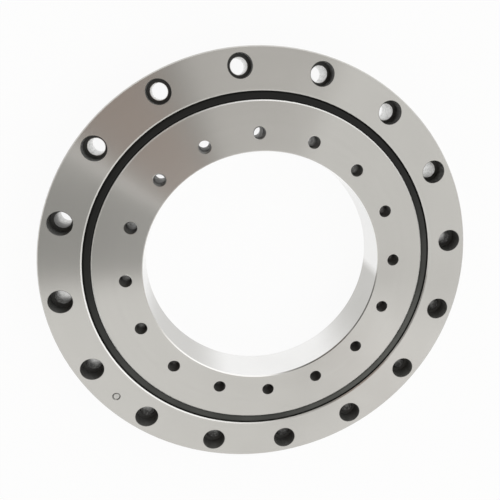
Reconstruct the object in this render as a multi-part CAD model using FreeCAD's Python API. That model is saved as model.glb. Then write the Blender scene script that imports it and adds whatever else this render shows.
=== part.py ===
# Crossed roller bearing with one-piece rings, bolted through both.
# Millimetres. The axis is +Z, the bearing lies on its lower face at z = 0, and the origin is the middle of
# that face. Outer ring, roller-filling plug, pin and seals stand still; the inner ring and the rollers turn.

import FreeCAD, Part
import math
import os

# Rings, from the outside inwards; the walls are radial and give a 297.3 roller circle and a 210 bore
outer_diameter = 380.0
ring_width = 40.0
outer_ring_wall = 41.35            # from the outside to the roller circle
inner_ring_wall = 43.65            # from the roller circle to the bore
rim_chamfer = 1.0                  # on the edges of the bore and of the outside

# Rollers, each crossed at a right angle to its neighbours
roller_diameter = 16.0
roller_end_clearance = 0.5         # a roller is this much shorter than it is wide
roller_count = 44
raceway_clearance = 0.15           # between a roller and the raceways, on each side
relief_width = 3.0                 # groove at the bottom of each V raceway
relief_depth = 0.6                 # past the point where the two flanks would meet

# Gap between the rings
land_gap = 2.3                     # radial gap between the rings beside the rollers
gap_chamfer = 1.0                  # radial width of the chamfers on both rings' edges at the gap
gap_chamfer_depth = 0.8            # their depth below the face

# Seals
seal_ledge_width = 5.0             # radial width of the ledge that a seal sits on
seal_recess = 1.0                  # how far a seal lies below the face
seal_wall_clearance = 0.25         # round the seal, in its pocket
seal_lip_clearance = 0.25          # between the lip and the inner ring
seal_lip_height = 1.6              # of the thin lip that reaches to the inner ring
seal_lip_reach = 1.7

# Spacers between the rollers
spacer_clearance = 0.15            # between a spacer's saddle and its roller
spacer_side_clearance = 0.5        # between a spacer's flats and the roller's envelope
saddle_depth = 3.0                 # how far a spacer reaches round each roller

# Counterbored holes of the outer ring
outer_bolt_inset = 15.0            # from the outside to the 350 bolt circle
outer_bolt_count = 16
outer_bolt_hole_diameter = 14.0
counterbore_diameter = 20.0
counterbore_depth = 13.0
bolt_hole_chamfer = 0.3            # on the edge at both faces
outer_first_hole_angle = 11.25     # degrees from +X

# Tapped holes of the inner ring
inner_bolt_inset = 15.0            # from the bore to the 240 bolt circle
inner_bolt_count = 16
thread_diameter = 12.0             # major diameter of the thread
inner_ring_turn = 6.6              # degrees from +X to its first hole, as it rests

# Roller-filling plug and its pin
holes_before_plug = 9.5            # bolt hole spacings from the first hole round to the plug
plug_roller_margin = 0.9           # radial room round a roller that goes in
plug_clearance = 0.02              # radial, between the plug and its hole
plug_to_ledge = 0.9                # wall between the plug's hole and the seal's ledge
pin_inset = 14.0                   # from the outside to the pin's middle
pin_diameter = 6.0                 # at the face
pin_taper = 1.0 / 50.0             # of diameter to length
pin_clearance = 0.01               # radial
pin_below_plug = 2.0               # how far the pin reaches past the plug
pin_end_chamfer = 0.5              # on the pin's end and on the mouth of its hole

# Grease holes from the outside to the raceway, midway between bolt holes
grease_hole_diameter = 4.0
grease_hole_count = 4
holes_before_grease = 0.5          # bolt hole spacings from the first hole round to the first grease hole

# Sizes that follow
middle = ring_width / 2
outer_radius = outer_diameter / 2
pitch_radius = outer_radius - outer_ring_wall
bore_radius = pitch_radius - inner_ring_wall
outer_bolt_radius = outer_radius - outer_bolt_inset
inner_bolt_radius = bore_radius + inner_bolt_inset
outer_bolt_step = 360 / outer_bolt_count
plug_angle = outer_first_hole_angle + holes_before_plug * outer_bolt_step
grease_angle = outer_first_hole_angle + holes_before_grease * outer_bolt_step
roller_length = roller_diameter - roller_end_clearance
flank_reach = (roller_diameter / 2 + raceway_clearance) * math.sqrt(2)
roller_corner = (roller_diameter + roller_length) / 2 / math.sqrt(2)
inner_land_radius = pitch_radius - land_gap / 2
outer_land_radius = pitch_radius + land_gap / 2
pocket_radius = outer_land_radius + seal_ledge_width
plug_radius = roller_corner + plug_roller_margin
ledge_height = plug_radius + plug_to_ledge

AXIS = FreeCAD.Vector(0, 0, 1)
ORIGIN = FreeCAD.Vector(0, 0, 0)


def direction(angle):
    """Unit vector in the plane of the ring, angle in degrees from +X."""
    turn = math.radians(angle)
    return FreeCAD.Vector(math.cos(turn), math.sin(turn), 0)


def revolved(outline):
    """Solid of revolution about +Z from a closed outline of (radius, height) points."""
    points = [FreeCAD.Vector(radius, 0, height) for radius, height in outline]
    wire = Part.makePolygon(points + points[:1])
    return Part.Face(wire).revolve(ORIGIN, AXIS, 360)


def round_pattern(shape, count, first_angle):
    """Copies of a shape that stands on +X, spread evenly round the axis."""
    copies = []
    for number in range(count):
        copy = shape.copy()
        copy.rotate(ORIGIN, AXIS, first_angle + number * 360 / count)
        copies.append(copy)
    return copies


def half_groove(side):
    """V raceway from its upper to its lower edge, as (radius, height) points; side 1 is the outer ring."""
    rise = flank_reach - land_gap / 2
    land = pitch_radius + side * land_gap / 2
    relief_edge = pitch_radius + side * (flank_reach - relief_width / 2)
    relief_floor = pitch_radius + side * (flank_reach + relief_depth)
    return [
        (land, middle + rise),
        (relief_edge, middle + relief_width / 2),
        (relief_floor, middle + relief_width / 2),
        (relief_floor, middle - relief_width / 2),
        (relief_edge, middle - relief_width / 2),
        (land, middle - rise),
    ]


def outer_ring_blank():
    """Outer ring with raceway, seal pockets and chamfers, before its holes."""
    return revolved(
        [
            (pocket_radius + gap_chamfer, 0),
            (outer_radius - rim_chamfer, 0),
            (outer_radius, rim_chamfer),
            (outer_radius, ring_width - rim_chamfer),
            (outer_radius - rim_chamfer, ring_width),
            (pocket_radius + gap_chamfer, ring_width),
            (pocket_radius, ring_width - gap_chamfer_depth),
            (pocket_radius, middle + ledge_height),
            (outer_land_radius, middle + ledge_height),
        ]
        + half_groove(1)
        + [
            (outer_land_radius, middle - ledge_height),
            (pocket_radius, middle - ledge_height),
            (pocket_radius, gap_chamfer_depth),
        ]
    )


def inner_ring_blank():
    """Inner ring with raceway and chamfers, before its holes."""
    return revolved(
        [
            (bore_radius + rim_chamfer, 0),
            (bore_radius, rim_chamfer),
            (bore_radius, ring_width - rim_chamfer),
            (bore_radius + rim_chamfer, ring_width),
            (inner_land_radius - gap_chamfer, ring_width),
            (inner_land_radius, ring_width - gap_chamfer_depth),
        ]
        + half_groove(-1)
        + [
            (inner_land_radius, gap_chamfer_depth),
            (inner_land_radius - gap_chamfer, 0),
        ]
    )


def mouth(radius, chamfer, foot, upper):
    """Cone that chamfers a hole's edge; foot is on the hole's axis at the lower face."""
    if upper:
        return Part.makeCone(radius, radius + chamfer, chamfer, foot + AXIS * (ring_width - chamfer))
    return Part.makeCone(radius + chamfer, radius, chamfer, foot)


def counterbored_hole():
    """Cutter for one outer bolt hole, on +X."""
    foot = FreeCAD.Vector(outer_bolt_radius, 0, 0)
    hole = Part.makeCylinder(outer_bolt_hole_diameter / 2, ring_width, foot)
    seat = foot + AXIS * (ring_width - counterbore_depth)
    head = Part.makeCylinder(counterbore_diameter / 2, counterbore_depth, seat)
    upper = mouth(counterbore_diameter / 2, bolt_hole_chamfer, foot, True)
    lower = mouth(outer_bolt_hole_diameter / 2, bolt_hole_chamfer, foot, False)
    return hole.fuse([head, upper, lower])


def tapped_hole():
    """Cutter for one inner bolt hole at the thread's major diameter, on +X."""
    foot = FreeCAD.Vector(inner_bolt_radius, 0, 0)
    return Part.makeCylinder(thread_diameter / 2, ring_width, foot)


def plug_bore(radius):
    """Round bar along the plug's axis, from inside the raceway to past the outside."""
    start = direction(plug_angle) * inner_land_radius + AXIS * middle
    length = outer_radius - inner_land_radius + rim_chamfer
    return Part.makeCylinder(radius, length, start, direction(plug_angle))


def taper(clearance):
    """Cone of the taper pin, from the face down through the plug, with a clearance round and below it."""
    length = ring_width - middle + plug_radius + pin_below_plug
    small = (pin_diameter - length * pin_taper) / 2
    foot = direction(plug_angle) * (outer_radius - pin_inset) + AXIS * (ring_width - length - clearance)
    return Part.makeCone(small + clearance, pin_diameter / 2 + clearance, length + clearance, foot)


def pin_hole():
    """Cutter for the pin's hole, chamfered at the face."""
    foot = direction(plug_angle) * (outer_radius - pin_inset)
    return taper(pin_clearance).fuse(mouth(pin_diameter / 2, pin_end_chamfer, foot, True))


def plug_pin():
    """Taper pin, chamfered at its large end, which shows in the face."""
    foot = direction(plug_angle) * (outer_radius - pin_inset)
    end = foot + AXIS * (ring_width - pin_end_chamfer)
    tip = Part.makeCone(pin_diameter / 2, pin_diameter / 2 - pin_end_chamfer, pin_end_chamfer, end)
    upper = Part.makeCylinder(pin_diameter, pin_end_chamfer, end)
    return taper(0).cut(upper.cut(tip))


def grease_hole():
    """Cutter for one grease hole along +X, from the raceway's relief groove to the outside."""
    start = FreeCAD.Vector(pitch_radius + flank_reach, 0, middle)
    length = outer_radius + rim_chamfer - start.x
    return Part.makeCylinder(grease_hole_diameter / 2, length, start, direction(0))


def outer_ring():
    cutters = round_pattern(counterbored_hole(), outer_bolt_count, outer_first_hole_angle)
    cutters += round_pattern(grease_hole(), grease_hole_count, grease_angle)
    cutters += [plug_bore(plug_radius + plug_clearance), pin_hole()]
    return outer_ring_blank().cut(cutters)


def inner_ring():
    holes = round_pattern(tapped_hole(), inner_bolt_count, inner_ring_turn)
    return inner_ring_blank().cut(holes)


def filling_plug():
    """Plug with the outer ring's own section, so that the raceway runs on across its inner end."""
    plug = plug_bore(plug_radius).common(outer_ring_blank())
    return plug.cut(pin_hole())


def seal(upper):
    """Seal ring that sits on its ledge, with a thin lip towards the inner ring."""
    sign = 1 if upper else -1
    outside = pocket_radius - seal_wall_clearance
    lip_edge = inner_land_radius + seal_lip_clearance
    body_edge = lip_edge + seal_lip_reach
    ledge = middle + sign * ledge_height
    face = middle + sign * (middle - seal_recess)
    return revolved(
        [
            (outside, ledge),
            (body_edge, ledge),
            (body_edge, face - sign * seal_lip_height),
            (lip_edge, face - sign * seal_lip_height),
            (lip_edge, face),
            (outside, face),
        ]
    )


def roller_axis(number):
    """Direction of a roller's axis: outwards and up, or outwards and down for every second roller."""
    lean = 1 if number % 2 == 0 else -1
    outwards = direction(number * 360 / roller_count)
    return (outwards + AXIS * lean).normalize()


def roller(number, radius, length):
    """Cylinder round the axis of a numbered roller, about its middle."""
    axis = roller_axis(number)
    centre = direction(number * 360 / roller_count) * pitch_radius + AXIS * middle
    return Part.makeCylinder(radius, length, centre - axis * (length / 2), axis)


def spacer(number):
    """Square block turned 45 degrees between two rollers, with a saddle cut for each of them."""
    half_step = 180 / roller_count
    chord = 2 * pitch_radius * math.sin(math.radians(half_step))
    thickness = chord - roller_diameter + 2 * saddle_depth
    reach = (roller_diameter / 2 - spacer_side_clearance) * math.sqrt(2)
    middle_radius = pitch_radius * math.cos(math.radians(half_step))
    corners = [(reach, 0), (0, reach), (-reach, 0), (0, -reach)]
    points = [FreeCAD.Vector(middle_radius + out, -thickness / 2, middle + up) for out, up in corners]
    face = Part.Face(Part.makePolygon(points + points[:1]))
    block = face.extrude(FreeCAD.Vector(0, thickness, 0))
    block.rotate(ORIGIN, AXIS, number * 2 * half_step + half_step)
    room = roller_diameter / 2 + spacer_clearance
    before = roller(number, room, roller_diameter * 2)
    after = roller((number + 1) % roller_count, room, roller_diameter * 2)
    return block.cut([before, after])


def build():
    """Every node of the bearing by name."""
    nodes = {
        "outer_ring": outer_ring(),
        "inner_ring": inner_ring(),
        "filling_plug": filling_plug(),
        "plug_pin": plug_pin(),
        "upper_seal": seal(True),
        "lower_seal": seal(False),
        "roller_spacers": Part.makeCompound([spacer(number) for number in range(roller_count)]),
    }
    for number in range(roller_count):
        nodes["roller_%02d" % (number + 1)] = roller(number, roller_diameter / 2, roller_length)
    return nodes


os.makedirs("parts", exist_ok=True)
for name, shape in build().items():
    shape.exportStep("parts/%s.step" % name)
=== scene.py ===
"""Looks of the crossed roller bearing: ground rings, rubber seals, cut threads, rollers and the studio.

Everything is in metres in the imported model's frame: the axis is +Z and the bearing lies on z = 0.
"""

from __future__ import annotations

import logging
import math
from dataclasses import dataclass
from enum import Enum
from typing import Callable, Optional, Union

import bmesh
import bpy
from mathutils import Matrix


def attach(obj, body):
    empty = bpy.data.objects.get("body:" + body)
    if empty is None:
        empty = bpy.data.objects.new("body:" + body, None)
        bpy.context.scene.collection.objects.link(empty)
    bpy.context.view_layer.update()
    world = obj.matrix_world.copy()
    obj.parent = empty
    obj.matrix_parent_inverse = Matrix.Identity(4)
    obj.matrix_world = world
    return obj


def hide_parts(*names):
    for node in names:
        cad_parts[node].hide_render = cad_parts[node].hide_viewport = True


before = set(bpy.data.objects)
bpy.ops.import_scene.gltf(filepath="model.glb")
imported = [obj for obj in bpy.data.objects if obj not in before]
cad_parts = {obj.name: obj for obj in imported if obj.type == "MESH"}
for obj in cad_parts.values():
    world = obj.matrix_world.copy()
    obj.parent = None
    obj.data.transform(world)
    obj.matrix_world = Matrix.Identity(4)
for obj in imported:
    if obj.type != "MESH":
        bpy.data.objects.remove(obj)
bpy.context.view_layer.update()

Socket = bpy.types.NodeSocket
Feed = Union[bpy.types.NodeSocket, float, tuple]
Colour = tuple[float, float, float]
Span = tuple[float, float]
Place = tuple[float, float, float]

MM = 0.001
RING_WIDTH = 40 * MM
MIDDLE = RING_WIDTH / 2
FULL_TURN = 2 * math.pi
UPRIGHT = (math.pi / 2, 0.0, 0.0)
NEAR = 0.01 * MM
WELD = 0.002 * MM
LEVEL = 0.99

# Sockets of the colour mix node: its two colours and the mixed one
MIX_COLOURS = (6, 7)
MIXED_COLOUR = 2

log = logging.getLogger("bearing")


class Body(Enum):
    """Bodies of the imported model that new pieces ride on, besides the rollers' own."""

    OUTER_RING = "outer_ring"
    INNER_RING = "inner_ring"


class Slot(Enum):
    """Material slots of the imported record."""

    RING_STEEL = "ring_steel"
    ROLLER_STEEL = "roller_steel"
    SEAL_RUBBER = "seal_rubber"


class Select(Enum):
    """What edit mode selects."""

    VERTICES = "VERT"
    EDGES = "EDGE"
    FACES = "FACE"


# Shader nodes


@dataclass(frozen=True)
class Grain:
    """Noise of a finish: how many of its features fit in a metre, and how many finer layers it has."""

    scale: float
    detail: float = 2.0


@dataclass(frozen=True)
class Side:
    """Side of the bearing, in degrees: direction about the axis, reach both ways, and soft edges."""

    direction: float
    reach: float
    soft: float


class Shader:
    """Node tree of a finish or of the world, with short ways to add what they need."""

    def __init__(self, tree: bpy.types.NodeTree) -> None:
        """Empties the tree and adds its coordinates.

        Args:
            tree: The node tree of a material or of the world.
        """
        self.tree = tree
        self.tree.nodes.clear()
        self.coordinates = self.add("ShaderNodeTexCoord")

    def add(self, kind: str, **settings: object) -> bpy.types.Node:
        """Adds a node.

        Args:
            kind: The node's type.
            settings: Values for the node's own properties.

        Returns:
            The new node.
        """
        node = self.tree.nodes.new(kind)
        for name, value in settings.items():
            setattr(node, name, value)
        return node

    def feed(self, socket: Socket, value: Feed) -> None:
        """Links a socket to another, or sets its own value.

        Args:
            socket: The input that is fed.
            value: An output to link, or a plain value.
        """
        if isinstance(value, bpy.types.NodeSocket):
            self.tree.links.new(value, socket)
        else:
            socket.default_value = value

    def math(self, operation: str, first: Feed, second: Feed = 0.0, third: Feed = 0.0) -> Socket:
        """Adds a number operation.

        Args:
            operation: The operation's name.
            first: Its first number.
            second: Its second number, where it has one.
            third: Its third number, where it has one.

        Returns:
            The result.
        """
        node = self.add("ShaderNodeMath", operation=operation)
        for socket, value in zip(node.inputs, (first, second, third)):
            self.feed(socket, value)
        return node.outputs[0]

    def plus(self, first: Feed, second: Feed) -> Socket:
        """Sum of two numbers."""
        return self.math("ADD", first, second)

    def minus(self, first: Feed, second: Feed) -> Socket:
        """Difference of two numbers."""
        return self.math("SUBTRACT", first, second)

    def times(self, first: Feed, second: Feed) -> Socket:
        """Product of two numbers; of two masks, it is where both are."""
        return self.math("MULTIPLY", first, second)

    def scaled(self, value: Feed, factor: Feed, base: Feed) -> Socket:
        """Base number plus a value times a factor."""
        return self.math("MULTIPLY_ADD", value, factor, base)

    def either(self, first: Feed, second: Feed) -> Socket:
        """Larger of two numbers; of two masks, it is where one or the other is."""
        return self.math("MAXIMUM", first, second)

    def apart(self, first: Feed, second: Feed) -> Socket:
        """How far apart two numbers are."""
        return self.math("ABSOLUTE", self.minus(first, second))

    def vector_math(self, operation: str, first: Feed, second: Feed = (0.0, 0.0, 0.0)) -> Socket:
        """Adds a vector operation.

        Args:
            operation: The operation's name.
            first: Its first vector.
            second: Its second vector.

        Returns:
            The resulting vector.
        """
        node = self.add("ShaderNodeVectorMath", operation=operation)
        self.feed(node.inputs[0], first)
        self.feed(node.inputs[1], second)
        return node.outputs[0]

    def split(self, vector: Feed) -> tuple[Socket, Socket, Socket]:
        """Splits a vector.

        Args:
            vector: The vector.

        Returns:
            Its three parts.
        """
        node = self.add("ShaderNodeSeparateXYZ")
        self.feed(node.inputs[0], vector)
        return node.outputs[0], node.outputs[1], node.outputs[2]

    def join(self, first: Feed, second: Feed, third: Feed) -> Socket:
        """Joins three numbers into a vector.

        Args:
            first: The vector's first part.
            second: Its second part.
            third: Its third part.

        Returns:
            The vector.
        """
        node = self.add("ShaderNodeCombineXYZ")
        for socket, value in zip(node.inputs, (first, second, third)):
            self.feed(socket, value)
        return node.outputs[0]

    def length(self, first: Feed, second: Feed) -> Socket:
        """Length of the vector with these two parts."""
        squares = self.scaled(first, first, self.times(second, second))
        return self.math("SQRT", squares)

    def rise(self, value: Feed, low: float, high: float) -> Socket:
        """Smooth step from 0 at low to 1 at high; it falls where low is above high.

        Args:
            value: The number that is compared.
            low: Where the step gives 0.
            high: Where the step gives 1.

        Returns:
            A number from 0 to 1.
        """
        turned = low > high
        node = self.add("ShaderNodeMapRange", interpolation_type="SMOOTHSTEP")
        values = (value, min(low, high), max(low, high), float(turned), float(not turned))
        for socket, setting in zip(node.inputs, values):
            self.feed(socket, setting)
        return node.outputs[0]

    def step_at(self, value: Feed, place: float, edge: Span) -> Socket:
        """Smooth step whose ends, where it gives 0 and 1, are counted from a place."""
        return self.rise(value, place + edge[0], place + edge[1])

    def within(self, value: Feed, between: Span, soft: float) -> Socket:
        """Mask of 1 where a number lies between two others, with soft edges outside them."""
        low, high = between
        return self.times(self.rise(value, low - soft, low), self.rise(value, high + soft, high))

    def noise(self, place: Feed, grain: Grain) -> Socket:
        """Adds a noise.

        Args:
            place: The coordinates that it reads.
            grain: How coarse it is.

        Returns:
            A number from 0 to 1, about 0.5 on average.
        """
        node = self.add("ShaderNodeTexNoise")
        self.feed(node.inputs["Vector"], place)
        node.inputs["Scale"].default_value = grain.scale
        node.inputs["Detail"].default_value = grain.detail
        return node.outputs[0]

    def blend(self, share: Feed, first: Feed, second: Feed, kind: str = "MIX") -> Socket:
        """Mixes two colours.

        Args:
            share: How much of the second colour shows.
            first: The first colour.
            second: The second colour.
            kind: How they are mixed.

        Returns:
            The mixed colour.
        """
        node = self.add("ShaderNodeMix", data_type="RGBA", blend_type=kind)
        self.feed(node.inputs[0], share)
        for number, value in zip(MIX_COLOURS, (first, second)):
            colour = value if isinstance(value, bpy.types.NodeSocket) else tuple(value) + (1.0,)
            self.feed(node.inputs[number], colour)
        return node.outputs[MIXED_COLOUR]

    def span(self, share: Feed, low: float, high: float) -> Socket:
        """Number that runs from low to high as the share goes from 0 to 1."""
        return self.scaled(share, high - low, low)

    def swing(self, share: Feed, size: float) -> Socket:
        """Number that runs from -size to size as the share goes from 0 to 1."""
        return self.span(share, -size, size)

    def bump(self, height: Feed, depth: float) -> Socket:
        """Adds a bump.

        Args:
            height: A number from 0 to 1.
            depth: How deep the bump is from 0 to 1, in metres.

        Returns:
            The bumped normal.
        """
        node = self.add("ShaderNodeBump")
        node.inputs["Distance"].default_value = depth
        self.feed(node.inputs["Height"], height)
        return node.outputs[0]

    def end_with(self, output: bpy.types.Node, share: Feed, first: bpy.types.Node,
                 second: bpy.types.Node) -> None:
        """Feeds the output a mix of two surfaces or of two backgrounds.

        Args:
            output: The tree's output.
            share: How much of the second one shows.
            first: The first surface or background.
            second: The second surface or background.
        """
        mixed = self.add("ShaderNodeMixShader")
        self.feed(mixed.inputs[0], share)
        self.tree.links.new(first.outputs[0], mixed.inputs[1])
        self.tree.links.new(second.outputs[0], mixed.inputs[2])
        self.tree.links.new(mixed.outputs[0], output.inputs[0])


class FinishShader(Shader):
    """Shader of a material, with one surface and the shaded point's place about the bearing's axis."""

    def __init__(self, name: str, metallic: float, specular: float = 0.5) -> None:
        """Makes the material and its surface.

        Args:
            name: The material's name.
            metallic: 1 for metal and 0 for anything else.
            specular: How strongly a surface that isn't metal reflects.
        """
        self.material = bpy.data.materials.new(name)
        self.material.use_nodes = True
        super().__init__(self.material.node_tree)
        self.place = self.coordinates.outputs["Object"]
        self.across, self.along, self.height = self.split(self.place)
        self.radius = self.length(self.across, self.along)
        self.angle = self.math("ARCTAN2", self.along, self.across)
        self.surface = self.add("ShaderNodeBsdfPrincipled")
        self.surface.inputs["Metallic"].default_value = metallic
        self.surface.inputs["Specular IOR Level"].default_value = specular
        self.output = self.add("ShaderNodeOutputMaterial")
        self.tree.links.new(self.surface.outputs[0], self.output.inputs[0])

    def texture(self, grain: Grain) -> Socket:
        """Noise that is fixed to the piece."""
        return self.noise(self.place, grain)

    def patches(self, grain: Grain, edge: Span) -> Socket:
        """Mask of 1 in the patches of a noise and 0 beside them."""
        return self.rise(self.texture(grain), *edge)

    def towards(self, side: Side) -> Socket:
        """Where one side of the bearing is.

        Args:
            side: The side.

        Returns:
            1 on that side and 0 elsewhere.
        """
        near = self.math("COSINE", self.minus(self.angle, math.radians(side.direction)))
        ends = [math.cos(math.radians(side.reach + soft)) for soft in (side.soft / 2, -side.soft / 2)]
        return self.rise(near, *ends)

    def brush(self, anisotropy: float, turn: float = 0.25) -> None:
        """Turns the surface's highlights across grinding lines that run round the bearing's axis.

        Args:
            anisotropy: How much wider a highlight is across the lines.
            turn: How far a highlight is turned from the lines, in full turns.
        """
        round_axis = self.join(self.times(self.along, -1.0), self.across, 0.0)
        turned = self.add("ShaderNodeVectorTransform", vector_type="VECTOR", convert_from="OBJECT",
                          convert_to="WORLD")
        self.feed(turned.inputs[0], self.vector_math("NORMALIZE", round_axis))
        self.surface.inputs["Anisotropic"].default_value = anisotropy
        self.surface.inputs["Anisotropic Rotation"].default_value = turn
        self.feed(self.surface.inputs["Tangent"], turned.outputs[0])

    def finish(self, colour: Feed, roughness: Feed, normal: Optional[Feed] = None) -> bpy.types.Material:
        """Feeds the surface.

        Args:
            colour: Its colour.
            roughness: Its roughness.
            normal: Its bumped normal, or None.

        Returns:
            The material.
        """
        self.feed(self.surface.inputs["Base Color"], colour)
        self.feed(self.surface.inputs["Roughness"], roughness)
        if normal is not None:
            self.feed(self.surface.inputs["Normal"], normal)
        return self.material


# Finishes


@dataclass(frozen=True)
class HoleCircle:
    """Circle of equal holes through a ring, in metres and degrees."""

    radius: float
    first_angle: float
    count: int = 16

    def centres(self) -> list[tuple[float, float]]:
        """Middles of the holes, as (x, y)."""
        turns = [math.radians(self.first_angle + 360 * number / self.count) for number in range(self.count)]
        return [(self.radius * math.cos(turn), self.radius * math.sin(turn)) for turn in turns]

    def from_hole(self, shader: FinishShader) -> Socket:
        """Distance of the shaded point from the axis of the nearest hole.

        Args:
            shader: The shader that the nodes are added to.

        Returns:
            The distance in metres.
        """
        half = math.pi / self.count
        turn = shader.minus(shader.angle, math.radians(self.first_angle))
        wrapped = shader.math("WRAP", turn, half, -half)
        outwards = shader.minus(shader.times(shader.radius, shader.math("COSINE", wrapped)), self.radius)
        return shader.length(outwards, shader.times(shader.radius, shader.math("SINE", wrapped)))


@dataclass(frozen=True)
class PinJoint:
    """Dark line in the upper face, where the pin's end meets the outer ring."""

    radius: float = 176 * MM
    angle: float = 225.0
    between: Span = (2.60 * MM, 3.60 * MM)
    soft: float = 0.40 * MM
    below_face: Span = (-1.0 * MM, -0.9 * MM)
    colour: Colour = (0.27, 0.268, 0.258)
    grain: Grain = Grain(420.0, 1.0)
    strong: Span = (0.40, 0.58)
    faintest: float = 0.35

    def line(self, shader: FinishShader) -> Socket:
        """Where the line is.

        Args:
            shader: The shader that the nodes are added to.

        Returns:
            1 on the line and 0 beside it.
        """
        turn = math.radians(self.angle)
        from_pin = shader.length(shader.minus(shader.across, self.radius * math.cos(turn)),
                                 shader.minus(shader.along, self.radius * math.sin(turn)))
        strong = shader.span(shader.patches(self.grain, self.strong), self.faintest, 1.0)
        line = shader.times(shader.within(from_pin, self.between, self.soft), strong)
        return shader.times(line, shader.step_at(shader.height, RING_WIDTH, self.below_face))

    def over(self, shader: FinishShader, steel: Feed) -> Socket:
        """Draws the line over steel."""
        return shader.blend(self.line(shader), steel, self.colour)


@dataclass(frozen=True)
class PaintedThreadShade:
    """Painted shade in the tapped holes, which darkens their upper part, and less so at one side of the
    ring, where light is painted on.
    """

    # Colour of the painted shade in the holes' upper part
    colour: Colour = (0.060, 0.059, 0.056)
    # Paler colour where light is painted on, at one side of the ring
    painted_lit: Colour = (0.17, 0.169, 0.163)
    painted_lit_side: Side = Side(116.0, 36.0, 26.0)
    # Heights over which the painted shade sets in towards the face
    reach: Span = (17 * MM, 28 * MM)

    def over(self, shader: FinishShader, steel: Feed) -> Socket:
        """Lays the painted shade over steel."""
        # Painted shade, made paler by painted light at one side
        painted_hole_shade = shader.blend(shader.towards(self.painted_lit_side), self.colour, self.painted_lit)
        return shader.blend(shader.rise(shader.height, *self.reach), steel, painted_hole_shade)


OUTER_HOLES = HoleCircle(radius=175 * MM, first_angle=11.25)
INNER_HOLES = HoleCircle(radius=120 * MM, first_angle=6.6)
PIN_JOINT = PinJoint()
PAINTED_THREAD_SHADE = PaintedThreadShade()


@dataclass(frozen=True)
class GroundSteel:
    """Ring steel, ground round the axis on its faces, bore and outside."""

    name: str
    colour: Colour = (0.61, 0.597, 0.572)
    roughness: float = 0.20
    anisotropy: float = 1.0
    seed: float = 0.0
    line_grain: Grain = Grain(2600.0, 1.0)
    line_stretch: float = 0.02
    line_tone: float = 0.03
    line_roughness: float = 0.02
    line_depth: float = 0.0012 * MM
    band_grain: Grain = Grain(260.0)
    band_stretch: float = 0.5
    band_tone: float = 0.02
    mottle_grain: Grain = Grain(22.0, 4.0)
    mottle_tone: float = 0.035
    smudge_grain: Grain = Grain(9.0, 5.0)
    smudged: Span = (0.50, 0.72)
    smudge_roughness: float = 0.05
    # Colour of painted highlights on the chamfers, at the sides where they catch light
    turned: Colour = (0.84, 0.835, 0.82)
    chamfer_soft: float = 0.05 * MM
    chamfer_top: Span = (-0.01 * MM, -0.04 * MM)
    chamfer_foot: Span = (-1.1 * MM, -1.0 * MM)

    def chamfer(self, shader: FinishShader, between: Span) -> Socket:
        """Turned chamfers at both faces.

        Args:
            shader: The shader that the nodes are added to.
            between: Their shorter and longer distance from the axis, in metres.

        Returns:
            1 on the chamfers and 0 elsewhere.
        """
        off_middle = shader.apart(shader.height, MIDDLE)
        near_face = shader.times(shader.step_at(off_middle, MIDDLE, self.chamfer_top),
                                 shader.step_at(off_middle, MIDDLE, self.chamfer_foot))
        return shader.times(shader.within(shader.radius, between, self.chamfer_soft), near_face)

    def shader(self) -> tuple[FinishShader, Socket, Socket, Socket]:
        """Builds the ground surface without its holes.

        Returns:
            The shader, and the colour, roughness and relief of the ground surface.
        """
        shader = FinishShader(self.name, metallic=1.0)
        shader.brush(self.anisotropy)
        lines_at = shader.join(shader.times(shader.angle, self.line_stretch),
                               shader.plus(shader.radius, self.seed), shader.height)
        lines = shader.noise(lines_at, self.line_grain)
        bands_at = shader.join(self.seed, shader.radius, shader.times(shader.height, self.band_stretch))
        tone = shader.plus(shader.swing(shader.noise(bands_at, self.band_grain), self.band_tone),
                           shader.swing(shader.texture(self.mottle_grain), self.mottle_tone))
        level = shader.plus(1.0, shader.plus(tone, shader.swing(lines, self.line_tone)))
        colour = shader.blend(1.0, self.colour, shader.join(level, level, level), "MULTIPLY")
        smudges = shader.patches(self.smudge_grain, self.smudged)
        dulled = shader.scaled(smudges, self.smudge_roughness, self.roughness)
        return shader, colour, shader.plus(dulled, shader.swing(lines, self.line_roughness)), lines

    def make(self) -> bpy.types.Material:
        """Makes the material."""
        shader, colour, roughness, lines = self.shader()
        return shader.finish(colour, roughness, shader.bump(lines, self.line_depth))


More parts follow.
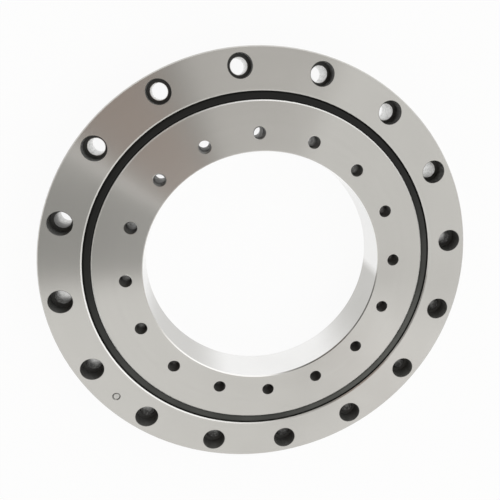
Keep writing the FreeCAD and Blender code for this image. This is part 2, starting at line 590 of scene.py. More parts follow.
@dataclass(frozen=True)
class OuterRingSteel(GroundSteel):
    """Ground steel of the outer ring, with blackened counterbores and bored screw holes, painted light and
    shade in its holes, and a painted highlight on its gap chamfer.
    """

    name: str = "outer_ring_ground_steel"
    mouth_radius: float = 10.3 * MM
    mouth_edge: Span = (0.07 * MM, 0.0)
    counterbore_floor: float = 27 * MM
    floor_edge: Span = (-0.15 * MM, -0.10 * MM)
    hole_radius: float = 7 * MM
    rim_edge: Span = (0.36 * MM, 0.288 * MM)
    black: Colour = (0.055, 0.055, 0.052)
    sooty: Colour = (0.085, 0.085, 0.080)
    soot_grain: Grain = Grain(300.0, 3.0)
    soot_metallic: float = 0.15
    # Paler colour of the counterbores where light is painted on, at one side
    soot_painted_light: Colour = (0.14, 0.14, 0.132)
    soot_painted_light_side: Side = Side(290.0, 75.0, 60.0)
    soot_painted_light_share: float = 0.6
    bored: Colour = (0.80, 0.795, 0.78)
    # Painted shade on the holes' upper walls, below the counterbores
    painted_wall_shade: Colour = (0.068, 0.067, 0.064)
    painted_shade_reach: Span = (28 * MM, 12 * MM)
    streak_grain: Grain = Grain(210.0, 3.0)
    streak_height: float = 12 * MM
    # Painted light on the holes' walls at one side of the ring
    painted_lit: Colour = (0.98, 0.98, 0.97)
    painted_lit_side: Side = Side(96.0, 68.0, 20.0)
    worn: Colour = (0.35, 0.35, 0.34)
    worn_grain: Grain = Grain(520.0)
    worn_spots: Span = (0.52, 0.40)
    worn_share: float = 0.40
    speckle_grain: Grain = Grain(900.0, 3.0)
    speckle_height: float = 6.0
    hole_roughness: float = 0.08
    gap_chamfer: Span = (154.7 * MM, 155.8 * MM)
    # Side where a painted highlight lies on the gap chamfer
    painted_highlight_side: Side = Side(225.0, 45.0, 30.0)
    plug_angle: float = 225.0
    plug_radius: float = 12.03 * MM
    seam_edge: Span = (0.16 * MM, 0.06 * MM)
    outside_wall: Span = (187 * MM, 188 * MM)

    def plug_seam(self, shader: FinishShader) -> Socket:
        """Thin dark line round the filling plug, where it ends flush in the outside of the ring.

        Args:
            shader: The shader that the nodes are added to.

        Returns:
            1 on the line and 0 beside it.
        """
        turn = math.radians(self.plug_angle)
        across, along = shader.across, shader.along
        sideways = shader.minus(shader.times(along, math.cos(turn)), shader.times(across, math.sin(turn)))
        outwards = shader.plus(shader.times(across, math.cos(turn)), shader.times(along, math.sin(turn)))
        from_axis = shader.length(sideways, shader.minus(shader.height, MIDDLE))
        line = shader.rise(shader.apart(from_axis, self.plug_radius), *self.seam_edge)
        return shader.times(line, shader.rise(outwards, *self.outside_wall))

    def bored_wall(self, shader: FinishShader) -> Socket:
        """Colour of the screw holes' walls: painted shade above, bright below, painted light at one side,
        and worn in spots.

        Args:
            shader: The shader that the nodes are added to.

        Returns:
            The colour.
        """
        depth = shader.scaled(shader.texture(self.streak_grain), self.streak_height, shader.height)
        # Painted shade above, bright steel below, at a streaky height
        wall = shader.blend(shader.rise(depth, *self.painted_shade_reach), self.painted_wall_shade, self.bored)
        # Painted light at one side of the ring
        wall = shader.blend(shader.towards(self.painted_lit_side), wall, self.painted_lit)
        spots = shader.times(shader.patches(self.worn_grain, self.worn_spots), self.worn_share)
        return shader.blend(spots, wall, self.worn)

    def soot(self, shader: FinishShader) -> Socket:
        """Colour of the counterbores, with painted light that makes them paler at one side.

        Args:
            shader: The shader that the nodes are added to.

        Returns:
            The colour.
        """
        soot = shader.blend(shader.texture(self.soot_grain), self.black, self.sooty)
        # Painted light on the counterbores at one side of the ring
        dust_and_painted_light = shader.times(shader.towards(self.soot_painted_light_side), self.soot_painted_light_share)
        return shader.blend(dust_and_painted_light, soot, self.soot_painted_light)

    def make(self) -> bpy.types.Material:
        """Makes the material.

        Returns:
            The finished material.
        """
        shader, ground, roughness, lines = self.shader()
        from_hole = OUTER_HOLES.from_hole(shader)
        inside = shader.step_at(from_hole, self.mouth_radius, self.mouth_edge)
        above = shader.step_at(shader.height, self.counterbore_floor, self.floor_edge)
        in_bore = shader.step_at(from_hole, self.hole_radius, self.rim_edge)
        blackened = shader.times(shader.times(inside, above), shader.minus(1.0, in_bore))
        shader.feed(shader.surface.inputs["Metallic"], shader.span(blackened, 1.0, self.soot_metallic))
        # Painted highlight on the gap chamfer at one side
        painted_gap_highlight = shader.times(self.chamfer(shader, self.gap_chamfer), shader.towards(self.painted_highlight_side))
        seam = shader.either(self.plug_seam(shader), PIN_JOINT.line(shader))
        colour = shader.blend(painted_gap_highlight, ground, self.turned)
        colour = shader.blend(in_bore, colour, self.bored_wall(shader))
        colour = shader.blend(blackened, colour, self.soot(shader))
        colour = shader.blend(seam, colour, PIN_JOINT.colour)
        in_hole = shader.either(blackened, in_bore)
        rough = shader.scaled(in_hole, self.hole_roughness, roughness)
        speckle = shader.times(shader.texture(self.speckle_grain), in_hole)
        relief = shader.scaled(speckle, self.speckle_height, lines)
        return shader.finish(colour, rough, shader.bump(relief, self.line_depth))


@dataclass(frozen=True)
class InnerRingSteel(GroundSteel):
    """Ground steel of the inner ring, brighter in its bore and darker where it is tapped, with painted shade
    in the tapped holes and on two sides of the bore, and painted highlights and shade on its chamfers.
    """

    name: str = "inner_ring_ground_steel"
    seed: float = 0.37
    hole_radius: float = 6 * MM
    hole_edge: Span = (0.2 * MM, 0.1 * MM)
    hole_end: Span = (-0.10 * MM, -0.15 * MM)
    hole_roughness: float = 0.1
    tapped: Colour = (0.30, 0.297, 0.286)
    bore_radius: float = 105 * MM
    bore_edge: Span = (0.4 * MM, 0.2 * MM)
    honed: Colour = (0.95, 0.948, 0.94)
    # Greyer colour of the painted shade on the bore
    painted_bore_shade: Colour = (0.60, 0.592, 0.57)
    # Sides of the bore where shade is painted on
    painted_shade_right: Side = Side(326.0, 33.5, 7.0)
    painted_shade_right_fade: Side = Side(352.0, 22.0, 50.0)
    painted_shade_left: Side = Side(224.0, 17.0, 34.0)
    painted_shade_left_share: float = 0.85
    bore_chamfer: Span = (105 * MM, 106 * MM)
    # Side where a painted highlight lies on the bore's chamfer
    painted_rim_highlight_side: Side = Side(255.0, 32.0, 20.0)
    # Side where painted shade darkens the bore's chamfer, and the colour of that shade
    painted_rim_shade_side: Side = Side(322.0, 34.0, 24.0)
    painted_rim_shade_colour: Colour = (0.30, 0.297, 0.285)
    gap_chamfer: Span = (146.5 * MM, 147.6 * MM)
    # Side where the gap chamfer gets no painted highlight
    shaded_side: Side = Side(152.0, 38.0, 24.0)

    def bore(self, shader: FinishShader) -> Socket:
        """Colour of the bore, with painted shade that makes it greyer at two sides.

        Args:
            shader: The shader that the nodes are added to.

        Returns:
            The colour.
        """
        # Painted shade at two sides of the bore
        right = shader.times(shader.towards(self.painted_shade_right), shader.towards(self.painted_shade_right_fade))
        left = shader.times(shader.towards(self.painted_shade_left), self.painted_shade_left_share)
        return shader.blend(shader.either(right, left), self.honed, self.painted_bore_shade)

    def make(self) -> bpy.types.Material:
        """Makes the material.

        Returns:
            The finished material.
        """
        shader, ground, roughness, lines = self.shader()
        within_faces = shader.step_at(shader.apart(shader.height, MIDDLE), MIDDLE, self.hole_end)
        inside = shader.step_at(INNER_HOLES.from_hole(shader), self.hole_radius, self.hole_edge)
        inside = shader.times(inside, within_faces)
        in_bore = shader.step_at(shader.radius, self.bore_radius, self.bore_edge)
        bore_rim = self.chamfer(shader, self.bore_chamfer)
        # Painted highlight on the bore's chamfer at one side
        bright = shader.times(bore_rim, shader.towards(self.painted_rim_highlight_side))
        # Painted highlight on the gap chamfer, except at the shaded side
        painted_gap_highlight = shader.times(self.chamfer(shader, self.gap_chamfer),
                                shader.minus(1.0, shader.towards(self.shaded_side)))
        colour = shader.blend(in_bore, ground, self.bore(shader))
        colour = shader.blend(shader.either(bright, painted_gap_highlight), colour, self.turned)
        # Painted shade on the bore's chamfer at another side
        colour = shader.blend(shader.times(bore_rim, shader.towards(self.painted_rim_shade_side)), colour, self.painted_rim_shade_colour)
        # Painted shade over the tapped holes' walls, paler at one side by painted light
        colour = shader.blend(inside, colour, PAINTED_THREAD_SHADE.over(shader, self.tapped))
        rough = shader.scaled(inside, self.hole_roughness, roughness)
        return shader.finish(colour, rough, shader.bump(lines, self.line_depth))


@dataclass(frozen=True)
class CutSteel:
    """Steel cut by a tap or turned, with darker patches and a fine grain, under painted shade or a dark
    line.
    """

    name: str
    colour: Colour
    dark: Colour
    roughness: float
    scale: float
    grain_depth: float
    # Painted shade of the tapped holes, or the dark joint round the pin
    cover: Union[PaintedThreadShade, PinJoint]
    patch_detail: float = 4.0
    patch_edge: Span = (0.35, 0.65)
    finer: float = 6.0
    uneven: float = 0.06

    def make(self) -> bpy.types.Material:
        """Makes the material.

        Returns:
            The finished material.
        """
        shader = FinishShader(self.name, metallic=1.0)
        patches = shader.patches(Grain(self.scale, self.patch_detail), self.patch_edge)
        grain = shader.texture(Grain(self.scale * self.finer))
        roughness = shader.span(grain, self.roughness - self.uneven, self.roughness + self.uneven)
        colour = self.cover.over(shader, shader.blend(patches, self.dark, self.colour))
        return shader.finish(colour, roughness, shader.bump(grain, self.grain_depth))


THREAD_STEEL = CutSteel(
    "tapped_thread_steel", colour=(0.80, 0.795, 0.78), dark=(0.50, 0.495, 0.48), roughness=0.38, scale=260.0,
    grain_depth=0.006 * MM, cover=PAINTED_THREAD_SHADE)
PIN_STEEL = CutSteel(
    "pin_ground_steel", colour=(0.62, 0.61, 0.59), dark=(0.56, 0.55, 0.53), roughness=0.28, scale=400.0,
    grain_depth=0.004 * MM, cover=PIN_JOINT)


@dataclass(frozen=True)
class GreasedSurface:
    """Rollers' or spacers' surface: a fine grain under patches of grease."""

    name: str
    colour: Colour
    greasy: Colour
    grease_grain: Grain
    grease_edge: Span
    grease_roughness: float
    grain: Grain
    grain_depth: float
    roughness: Span
    metallic: float = 0.0

    def make(self) -> bpy.types.Material:
        """Makes the material.

        Returns:
            The finished material.
        """
        shader = FinishShader(self.name, metallic=self.metallic)
        grain = shader.texture(self.grain)
        grease = shader.patches(self.grease_grain, self.grease_edge)
        roughness = shader.scaled(grease, self.grease_roughness, shader.span(grain, *self.roughness))
        colour = shader.blend(grease, self.colour, self.greasy)
        return shader.finish(colour, roughness, shader.bump(grain, self.grain_depth))


LAPPED_STEEL = GreasedSurface(
    "roller_lapped_steel", colour=(0.66, 0.65, 0.63), greasy=(0.50, 0.47, 0.40),
    grease_grain=Grain(70.0, 4.0), grease_edge=(0.48, 0.70), grease_roughness=0.12, grain=Grain(1800.0),
    grain_depth=0.001 * MM, roughness=(0.14, 0.20), metallic=1.0)
IVORY_PLASTIC = GreasedSurface(
    "spacer_moulded_plastic", colour=(0.66, 0.61, 0.48), greasy=(0.50, 0.42, 0.26),
    grease_grain=Grain(120.0, 4.0), grease_edge=(0.42, 0.68), grease_roughness=-0.25, grain=Grain(1500.0),
    grain_depth=0.004 * MM, roughness=(0.46, 0.56))


@dataclass(frozen=True)
class SealRubber:
    """Moulded black rubber, with a pale dusting on the flat strip, and painted light that makes the strip
    paler towards one side.
    """

    name: str = "seal_black_rubber"
    colour: Colour = (0.0045, 0.0045, 0.0042)
    # Pale colour of the strip's dusting, and of the light painted on it
    bloom_and_painted_light: Colour = (0.095, 0.098, 0.090)
    specular: float = 0.25
    strip: Span = (148.4 * MM, 153.8 * MM)
    strip_soft: float = 0.3 * MM
    # Painted light: the strip is paler towards these sides
    painted_light_middle: float = 290.0
    painted_light_edge: Span = (-0.5, 0.6)
    least_dust: float = 0.05
    # How much light is painted towards one side, and more towards another
    painted_light_share: float = 0.53
    brightest_painted_side: Side = Side(322.0, 30.0, 24.0)
    more_painted_light: float = 0.35
    patch_grain: Grain = Grain(45.0, 4.0)
    patch_edge: Span = (0.30, 0.70)
    patch_dust: Span = (0.8, 1.1)
    patch_roughness: float = 0.05
    pebble_grain: Grain = Grain(2200.0, 3.0)
    pebble_roughness: Span = (0.34, 0.46)
    mould_grain: Grain = Grain(900.0, 1.0)
    relief_depth: float = 0.012 * MM

    def make(self) -> bpy.types.Material:
        """Makes the material.

        Returns:
            The finished material.
        """
        shader = FinishShader(self.name, metallic=0.0, specular=self.specular)
        pebble = shader.texture(self.pebble_grain)
        patches = shader.patches(self.patch_grain, self.patch_edge)
        mould = shader.noise(shader.join(0.0, shader.radius, shader.height), self.mould_grain)
        on_strip = shader.within(shader.radius, self.strip, self.strip_soft)
        # Painted light towards one side, over an even dusting in patches
        side = shader.math("COSINE", shader.minus(shader.angle, math.radians(self.painted_light_middle)))
        dust_and_painted_light = shader.scaled(shader.rise(side, *self.painted_light_edge), self.painted_light_share, self.least_dust)
        dust_and_painted_light = shader.scaled(shader.towards(self.brightest_painted_side), self.more_painted_light, dust_and_painted_light)
        dust_and_painted_light = shader.times(dust_and_painted_light, shader.span(patches, *self.patch_dust))
        colour = shader.blend(shader.times(on_strip, dust_and_painted_light), self.colour, self.bloom_and_painted_light)
        roughness = shader.plus(shader.span(pebble, *self.pebble_roughness),
                                shader.times(patches, self.patch_roughness))
        return shader.finish(colour, roughness, shader.bump(shader.plus(pebble, mould), self.relief_depth))


@dataclass(frozen=True)
class PaleFloor:
    """Plain pale floor that looks nearly white to the camera and keeps the bearing's shadow."""

    name: str = "pale_floor"
    colour: Colour = (0.90, 0.90, 0.89)
    cloudy: Colour = (0.895, 0.895, 0.885)
    cloud_grain: Grain = Grain(3.0)
    cloud_edge: Span = (0.3, 0.7)
    roughness: float = 0.9
    white: float = 0.93

    def make(self) -> bpy.types.Material:
        """Makes the material.

        Returns:
            The finished material.
        """
        shader = FinishShader(self.name, metallic=0.0, specular=0.0)
        clouds = shader.patches(self.cloud_grain, self.cloud_edge)
        shader.finish(shader.blend(clouds, self.colour, self.cloudy), self.roughness)
        glow = shader.add("ShaderNodeEmission")
        rays = shader.add("ShaderNodeLightPath")
        seen = shader.either(rays.outputs["Is Camera Ray"], rays.outputs["Is Glossy Ray"])
        seen = shader.either(seen, rays.outputs["Is Transmission Ray"])
        shader.end_with(shader.output, shader.times(seen, self.white), shader.surface, glow)
        return shader.material


# Modelling by operators


class Workpiece:
    """Mesh that is modelled by operators, as by hand."""

    def __init__(self, name: str) -> None:
        """Takes the primitive that was just added.

        Args:
            name: The piece's name.
        """
        self.piece = bpy.context.object
        self.piece.name = name
        self.piece.data.name = name

    @staticmethod
    def clear() -> None:
        """Leaves edit mode and deselects everything."""
        if bpy.context.object and bpy.context.object.mode != "OBJECT":
            bpy.ops.object.mode_set(mode="OBJECT")
        bpy.ops.object.select_all(action="DESELECT")

    def edit(self) -> None:
        """Enters edit mode on this piece alone."""
        self.clear()
        bpy.context.view_layer.objects.active = self.piece
        self.piece.select_set(True)
        bpy.ops.object.mode_set(mode="EDIT")

    def leave(self) -> None:
        """Leaves edit mode, with this piece selected."""
        bpy.ops.object.mode_set(mode="OBJECT")

    def take_all(self) -> None:
        """Selects the whole mesh, in edit mode."""
        bpy.ops.mesh.select_all(action="SELECT")

    def pick(self, kind: Select, test: Callable[..., bool]) -> None:
        """Selects, in edit mode, only what a test holds for.

        Args:
            kind: Whether vertices, edges or faces are tested.
            test: The test of one of them.
        """
        bpy.ops.mesh.select_mode(type=kind.value)
        bpy.ops.mesh.select_all(action="DESELECT")
        mesh = bmesh.from_edit_mesh(self.piece.data)
        parts = {Select.VERTICES: mesh.verts, Select.EDGES: mesh.edges, Select.FACES: mesh.faces}[kind]
        for part in parts:
            if test(part):
                part.select_set(True)
        mesh.select_flush_mode()
        bmesh.update_edit_mesh(self.piece.data)

    def cut(self, place: Place, normal: Place) -> None:
        """Cuts every face along a plane, in edit mode."""
        self.take_all()
        bpy.ops.mesh.bisect(plane_co=place, plane_no=normal)

    def weld(self) -> None:
        """Merges doubled points, in edit mode."""
        self.take_all()
        bpy.ops.mesh.remove_doubles(threshold=WELD)

    def face_outwards(self) -> None:
        """Turns every face outwards, in edit mode."""
        self.take_all()
        bpy.ops.mesh.normals_make_consistent(inside=False)

    def keep_outline(self) -> None:
        """Keeps only the edges round a flat sheet, in edit mode."""
        self.pick(Select.EDGES, lambda edge: not edge.is_boundary)
        bpy.ops.mesh.delete(type="EDGE_FACE")
        self.pick(Select.FACES, lambda face: True)
        bpy.ops.mesh.delete(type="ONLY_FACE")

    def settle(self, angle: float = 40.0) -> bpy.types.Object:
        """Puts the piece's place in its mesh and smooths its shading.

        Args:
            angle: Edges sharper than this stay sharp, in degrees.

        Returns:
            The finished object.
        """
        self.clear()
        bpy.context.view_layer.objects.active = self.piece
        self.piece.select_set(True)
        bpy.ops.object.transform_apply(location=True, rotation=True, scale=True)
        bpy.ops.object.shade_smooth_by_angle(angle=math.radians(angle))
        return self.piece


def upright_sheet(name: str, middle: Place, width: float, height: float) -> Workpiece:
    """Starts a piece as a rectangular sheet in the plane y = 0.

    Args:
        name: The piece's name.
        middle: The sheet's middle.
        width: Its width along X.
        height: Its height along Z.

    Returns:
        The sheet, selected in edit mode.
    """
    Workpiece.clear()
    bpy.ops.mesh.primitive_plane_add(size=1.0, location=middle, rotation=UPRIGHT)
    work = Workpiece(name)
    work.settle()
    work.edit()
    work.take_all()
    bpy.ops.transform.resize(value=(width, 1.0, height), center_override=middle)
    return work


def copied(piece: bpy.types.Object, name: str, place: Matrix) -> bpy.types.Object:
    """Copies a finished piece to another place.

    Args:
        piece: The piece that is copied.
        name: The copy's name.
        place: Where the copy goes, from where the first piece is.

    Returns:
        The copy, with its own mesh.
    """
    copy = piece.copy()
    copy.data = piece.data.copy()
    copy.name = name
    copy.data.name = name
    copy.data.transform(place)
    bpy.context.scene.collection.objects.link(copy)
    return copy


def dress(piece: bpy.types.Object, finish: bpy.types.Material) -> None:
    """Gives a piece one finish.

    Args:
        piece: The piece.
        finish: The material that it gets.
    """
    if piece.material_slots:
        for slot in piece.material_slots:
            slot.material = finish
    else:
        piece.data.materials.append(finish)


# Sub-assemblies


@dataclass
class Rings:
    """The two ground rings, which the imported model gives."""

    outer: OuterRingSteel = OuterRingSteel()
    inner: InnerRingSteel = InnerRingSteel()

    def build(self) -> None:
        """Dresses both rings."""
        dress(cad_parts["outer_ring"], self.outer.make())
        dress(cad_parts["inner_ring"], self.inner.make())
        log.info("rings dressed")


@dataclass
class FillingPlug:
    """Roller-filling plug in the outer ring, and the pin that holds it."""

    plug: GroundSteel = GroundSteel("filling_plug_ground_steel", seed=0.81)
    pin: CutSteel = PIN_STEEL

    def build(self) -> None:
        """Dresses the plug and its pin."""
        dress(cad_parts["filling_plug"], self.plug.make())
        dress(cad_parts["plug_pin"], self.pin.make())
        log.info("filling plug and pin dressed")


@dataclass
class Seals:
    """Rubber seals in the gap between the rings, one at each face."""

    outside: float = 154.55 * MM
    body_edge: float = 149.45 * MM
    lip_edge: float = 147.75 * MM
    ledge: float = 32.94 * MM
    face: float = 39.0 * MM
    lip_height: float = 1.6 * MM
    strip_inside: float = 149.0 * MM
    strip_outside: float = 152.8 * MM
    lip_drop: float = 0.9 * MM
    edge_drop: float = 1.6 * MM
    edge_round: float = 0.22 * MM
    edge_steps: int = 3
    steps: int = 288
    rubber: SealRubber = SealRubber()

    def section(self) -> Workpiece:
        """Shapes the upper seal's section in the plane y = 0 from a flat sheet.

        Returns:
            The section's outline, in edit mode.
        """
        middle = ((self.outside + self.body_edge) / 2, 0.0, (self.face + self.ledge) / 2)
        width = self.outside - self.body_edge
        work = upright_sheet("upper_seal_rubber", middle, width, self.face - self.ledge)
        lip_bottom = self.face - self.lip_height
        top = self.face - NEAR
        work.cut((0.0, 0.0, lip_bottom), (0.0, 0.0, 1.0))
        work.pick(Select.EDGES, lambda edge: all(
            abs(end.co.x - self.body_edge) < NEAR and end.co.z > lip_bottom - NEAR for end in edge.verts))
        bpy.ops.mesh.extrude_region_move(
            TRANSFORM_OT_translate={"value": (self.lip_edge - self.body_edge, 0.0, 0.0)})
        work.cut((self.strip_inside, 0.0, 0.0), (1.0, 0.0, 0.0))
        work.cut((self.strip_outside, 0.0, 0.0), (1.0, 0.0, 0.0))
        work.pick(Select.VERTICES, lambda point: point.co.z > top and point.co.x < self.lip_edge + NEAR)
        bpy.ops.transform.translate(value=(0.0, 0.0, -self.lip_drop))
        work.pick(Select.VERTICES, lambda point: point.co.z > top and point.co.x > self.outside - NEAR)
        bpy.ops.transform.translate(value=(0.0, 0.0, -self.edge_drop))
        work.keep_outline()
        work.pick(Select.VERTICES, lambda point: point.co.z > top - self.lip_drop)
        bpy.ops.mesh.bevel(offset=self.edge_round, segments=self.edge_steps, affect="VERTICES")
        return work

    def build(self) -> None:
        """Turns the section into the upper seal and mirrors it into the lower one."""
        work = self.section()
        work.take_all()
        bpy.ops.mesh.spin(steps=self.steps, angle=FULL_TURN, center=(0.0, 0.0, 0.0), axis=(0.0, 0.0, 1.0))
        work.weld()
        work.face_outwards()
        work.leave()
        upper = work.settle()
        mirrored = Matrix.Translation((0.0, 0.0, RING_WIDTH)) @ Matrix.Diagonal((1.0, 1.0, -1.0, 1.0))
        lower = copied(upper, "lower_seal_rubber", mirrored)
        lower.data.flip_normals()
        finish = self.rubber.make()
        for piece, node in ((upper, "upper_seal"), (lower, "lower_seal")):
            dress(piece, finish)
            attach(piece, Body.OUTER_RING.value)
            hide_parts(node)
            log.info("%s built", piece.name)


@dataclass
class Threads:
    """Cut threads in the inner ring's holes, as a ridge that winds up each hole and ends in both faces."""

    root_radius: float = 6.03 * MM
    crest_radius: float = 5.06 * MM
    pitch: float = 1.75 * MM
    root_width: float = 1.5 * MM
    crest_width: float = 0.42 * MM
    below_face: float = 0.01 * MM
    trim_within: float = 0.0005 * MM
    spare_turns: int = 2
    steps: int = 24
    crease: float = 30.0
    turn_per_hole: float = 137.0
    steel: CutSteel = THREAD_STEEL

    def profile(self, bottom: float) -> Workpiece:
        """Shapes the ridge's section in the plane y = 0 from a flat sheet.

        Args:
            bottom: The height of the section's middle.

        Returns:
            The section's outline.
        """
        middle = ((self.root_radius + self.crest_radius) / 2, 0.0, bottom)
        work = upright_sheet("thread_ridge", middle, self.root_radius - self.crest_radius, self.root_width)
        work.pick(Select.VERTICES, lambda point: point.co.x < middle[0])
        narrower = self.crest_width / self.root_width
        bpy.ops.transform.resize(value=(1.0, 1.0, narrower), center_override=middle)
        work.take_all()
        bpy.ops.mesh.delete(type="ONLY_FACE")
        work.leave()
        return work

    def ridge(self) -> bpy.types.Object:
        """Winds the section into the ridge of one hole, round the axis +Z.

        Returns:
            The ridge, with its ground ends on the second material slot.
        """
        turns = math.ceil(RING_WIDTH / self.pitch) + self.spare_turns
        work = self.profile((RING_WIDTH - turns * self.pitch) / 2)
        screw = work.piece.modifiers.new("wind", "SCREW")
        screw.axis = "Z"
        screw.angle = FULL_TURN
        screw.screw_offset = self.pitch
        screw.iterations = turns
        screw.steps = self.steps
        screw.render_steps = self.steps
        bpy.ops.object.modifier_apply(modifier=screw.name)
        work.edit()
        work.weld()
        work.take_all()
        bpy.ops.mesh.fill_holes(sides=4)
        for face, normal in ((RING_WIDTH - self.below_face, 1.0), (self.below_face, -1.0)):
            work.take_all()
            bpy.ops.mesh.bisect(plane_co=(0.0, 0.0, face), plane_no=(0.0, 0.0, normal), use_fill=True,
                                clear_outer=True, threshold=self.trim_within)
        work.face_outwards()
        work.leave()
        work.piece.data.materials.append(self.steel.make())
        work.piece.data.materials.append(bpy.data.materials[InnerRingSteel.name])
        work.edit()
        end = MIDDLE - self.below_face
        work.pick(Select.FACES, lambda face: abs(face.normal.z) > LEVEL and abs(
            abs(face.calc_center_median().z - MIDDLE) - end) < self.below_face)
        work.piece.active_material_index = 1
        bpy.ops.object.material_slot_assign()
        work.leave()
        return work.settle(self.crease)

    def build(self) -> None:
        """Copies the ridge into every hole of the inner ring."""
        first = self.ridge()
        for number, (across, along) in enumerate(INNER_HOLES.centres(), 1):
            turn = Matrix.Rotation(math.radians(self.turn_per_hole * number), 4, "Z")
            place = Matrix.Translation((across, along, 0.0)) @ turn
            thread = copied(first, "thread_%02d" % number, place)
            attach(thread, Body.INNER_RING.value)
        bpy.data.objects.remove(first)
        log.info("%d threads built", INNER_HOLES.count)


@dataclass
class RollerTrain:
    """Crossed rollers and the spacers between them."""

    count: int = 44
    pitch_radius: float = 148.65 * MM
    radius: float = 8 * MM
    length: float = 15.5 * MM
    end_chamfer: float = 0.5 * MM
    chamfer_steps: int = 2
    dish: float = 0.1 * MM
    around: int = 64
    crease: float = 30.0
    steel: GreasedSurface = LAPPED_STEEL
    plastic: GreasedSurface = IVORY_PLASTIC

    def roller(self) -> bpy.types.Object:
        """Models one roller with its axis on +Z, about the origin.

        Returns:
            The roller, with chamfered and slightly dished ends.
        """
        Workpiece.clear()
        bpy.ops.mesh.primitive_cylinder_add(vertices=self.around, radius=self.radius, depth=self.length)
        work = Workpiece("roller")
        work.edit()
        work.pick(Select.EDGES, lambda edge: abs(edge.verts[0].co.z - edge.verts[1].co.z) < self.end_chamfer)
        bpy.ops.mesh.bevel(offset=self.end_chamfer, segments=self.chamfer_steps, affect="EDGES")
        work.pick(Select.FACES, lambda face: abs(face.normal.z) > LEVEL)
        bpy.ops.mesh.inset(thickness=self.radius / 2, use_individual=True)
        shorter = 1.0 - self.dish / self.length
        bpy.ops.transform.resize(value=(1.0, 1.0, shorter), center_override=(0.0, 0.0, 0.0))
        work.leave()
        return work.settle(self.crease)

    def build(self) -> None:
        """Sets a roller at every place of the train and dresses the spacers."""
        first = self.roller()
        dress(first, self.steel.make())
        for number in range(self.count):
            turn = FULL_TURN * number / self.count
            lean = math.pi / 4 if number % 2 == 0 else 3 * math.pi / 4
            place = (Matrix.Rotation(turn, 4, "Z")
                     @ Matrix.Translation((self.pitch_radius, 0.0, MIDDLE))
                     @ Matrix.Rotation(lean, 4, "Y"))
            node = "roller_%02d" % (number + 1)
            piece = copied(first, node + "_lapped", place)
            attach(piece, node)
            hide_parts(node)
        bpy.data.objects.remove(first)
        dress(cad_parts["roller_spacers"], self.plastic.make())
        log.info("%d rollers built and the spacers dressed", self.count)


# Studio


@dataclass(frozen=True)
class Sector:
    """Part of the room to both sides of a direction, in degrees, with its own tone."""

    middle: float
    half_width: float
    soft: float
    tone: Colour

    def mask(self, shader: Shader, turn: Socket) -> Socket:
        """Mask of 1 in the part and 0 beside it, for a direction in degrees."""
        off = shader.math("WRAP", shader.minus(turn, self.middle), 180.0, -180.0)
        return shader.step_at(shader.math("ABSOLUTE", off), self.half_width, (self.soft, -self.soft))


@dataclass(frozen=True)
class LowSector(Sector):
    """Part of the room between two heights, where 0 is the horizon and 1 is straight up."""

    top: float
    top_soft: float = 0.06
    foot: float = -0.2
    foot_soft: float = 0.1

    def band(self, shader: Shader, compass: Socket, up: Socket) -> Socket:
        """Masks the part by direction and height.

        Args:
            shader: The world's shader.
            compass: The direction that is looked in, in degrees.
            up: The height that is looked at.

        Returns:
            1 in the part and 0 beside it.
        """
        heights = shader.times(shader.step_at(up, self.foot, (0.0, self.foot_soft)),
                               shader.step_at(up, self.top, (self.top_soft, -self.top_soft)))
        return shader.times(self.mask(shader, compass), heights)


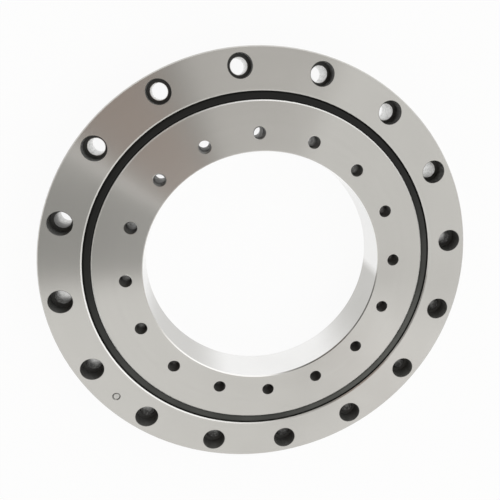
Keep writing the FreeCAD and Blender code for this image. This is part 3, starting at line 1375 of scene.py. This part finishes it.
@dataclass
class Studio:
    """Pale floor and a pale room, with windows on one side and a dark patch above the bearing.

    Overhead the room is divided by direction about the point that the bearing's axis shows in, because each
    part of a face that is ground round the axis mirrors one such direction.
    """

    floor_size: float = 8.0
    room: Colour = (0.955, 0.955, 0.94)
    over_axis: tuple[float, float] = (0.1715, -0.344)
    least_height: float = 0.02
    overhead: Span = (0.22, 0.45)
    right_window: Sector = Sector(-30.0, 32.0, 22.0, (1.01, 1.01, 1.0))
    window_middle: Sector = Sector(-20.0, 10.0, 8.0, (1.18, 1.18, 1.17))
    right_wall: Sector = Sector(31.0, 43.0, 12.0, (0.83, 0.83, 0.815))
    half_shade: Sector = Sector(131.0, 57.0, 4.0, (0.64, 0.63, 0.61))
    shade: Sector = Sector(150.3, 34.7, 5.0, (0.37, 0.37, 0.357))
    warm_shade: Sector = Sector(134.5, 12.0, 8.0, (0.39, 0.325, 0.288))
    streak: Sector = Sector(150.5, 1.6, 1.6, (1.01, 1.01, 1.0))
    far_windows: LowSector = LowSector(115.0, 35.0, 18.0, (1.05, 1.05, 1.04), top=0.34)
    low_windows: LowSector = LowSector(20.0, 76.0, 14.0, (1.28, 1.28, 1.27), top=0.74)
    low_corner: LowSector = LowSector(-12.0, 24.0, 8.0, (0.84, 0.84, 0.83), top=0.36)
    white: tuple[float, float, float, float] = (1.0, 1.0, 1.0, 1.0)
    finish: PaleFloor = PaleFloor()

    def floor(self) -> None:
        """Lays the floor under the bearing."""
        Workpiece.clear()
        bpy.ops.mesh.primitive_plane_add(size=self.floor_size)
        work = Workpiece("floor")
        dress(work.piece, self.finish.make())

    def tones(self, shader: Shader) -> Socket:
        """Paints the room's parts over each other.

        Args:
            shader: The world's shader.

        Returns:
            The room's colour.
        """
        across, along, up = shader.split(shader.coordinates.outputs["Generated"])
        height = shader.either(up, self.least_height)
        right = shader.minus(shader.math("DIVIDE", across, height), self.over_axis[0])
        back = shader.minus(shader.math("DIVIDE", along, height), self.over_axis[1])
        turn = shader.math("DEGREES", shader.math("ARCTAN2", back, right))
        compass = shader.math("DEGREES", shader.math("ARCTAN2", along, across))
        above = shader.rise(up, *self.overhead)
        colour: Feed = self.room
        for part in (self.right_window, self.window_middle, self.right_wall, self.half_shade, self.shade,
                     self.warm_shade, self.streak):
            colour = shader.blend(shader.times(above, part.mask(shader, turn)), colour, part.tone)
        for part in (self.far_windows, self.low_windows, self.low_corner):
            colour = shader.blend(part.band(shader, compass, up), colour, part.tone)
        return colour

    def surroundings(self) -> None:
        """Makes the room's light, and a white background for the camera."""
        world = bpy.data.worlds.new("room")
        world.use_nodes = True
        bpy.context.scene.world = world
        shader = Shader(world.node_tree)
        sky = shader.add("ShaderNodeBackground")
        shader.feed(sky.inputs[0], self.tones(shader))
        background = shader.add("ShaderNodeBackground")
        shader.feed(background.inputs[0], self.white)
        rays = shader.add("ShaderNodeLightPath")
        output = shader.add("ShaderNodeOutputWorld")
        shader.end_with(output, rays.outputs["Is Camera Ray"], sky, background)

    def build(self) -> None:
        """Sets up the floor and the room."""
        self.floor()
        self.surroundings()
        bpy.context.scene.view_settings.view_transform = "Standard"
        log.info("studio set up")


@dataclass
class PhotoCamera:
    """Camera above the bearing, where the photograph was taken from."""

    place: Place = (-0.07680824, 0.15422608, 0.48776106)
    rightwards: Place = (0.98095, 0.09088, 0.1717)
    upwards: Place = (-0.04591, 0.96724, -0.24968)
    backwards: Place = (-0.18877, 0.23704, 0.95298)
    lens: float = 38.70
    shift_right: float = -0.0638
    shift_up: float = -0.0526
    sensor: float = 36.0
    nearest: float = 0.01

    def build(self) -> None:
        """Places the camera and makes it the scene's own."""
        camera = bpy.data.cameras.new("photo_camera")
        camera.lens = self.lens
        camera.sensor_width = self.sensor
        camera.shift_x = self.shift_right
        camera.shift_y = self.shift_up
        camera.clip_start = self.nearest
        holder = bpy.data.objects.new("photo_camera", camera)
        turn = Matrix((self.rightwards, self.upwards, self.backwards)).transposed()
        holder.matrix_world = Matrix.Translation(self.place) @ turn.to_4x4()
        bpy.context.scene.collection.objects.link(holder)
        bpy.context.scene.camera = holder
        log.info("camera placed")


def main() -> None:
    """Builds the bearing's looks and the studio."""
    logging.basicConfig(level=logging.INFO, format="%(name)s: %(message)s")
    PhotoCamera().build()
    Studio().build()
    Rings().build()
    FillingPlug().build()
    Seals().build()
    Threads().build()
    RollerTrain().build()
    Workpiece.clear()


if __name__ == "__main__":
    main()
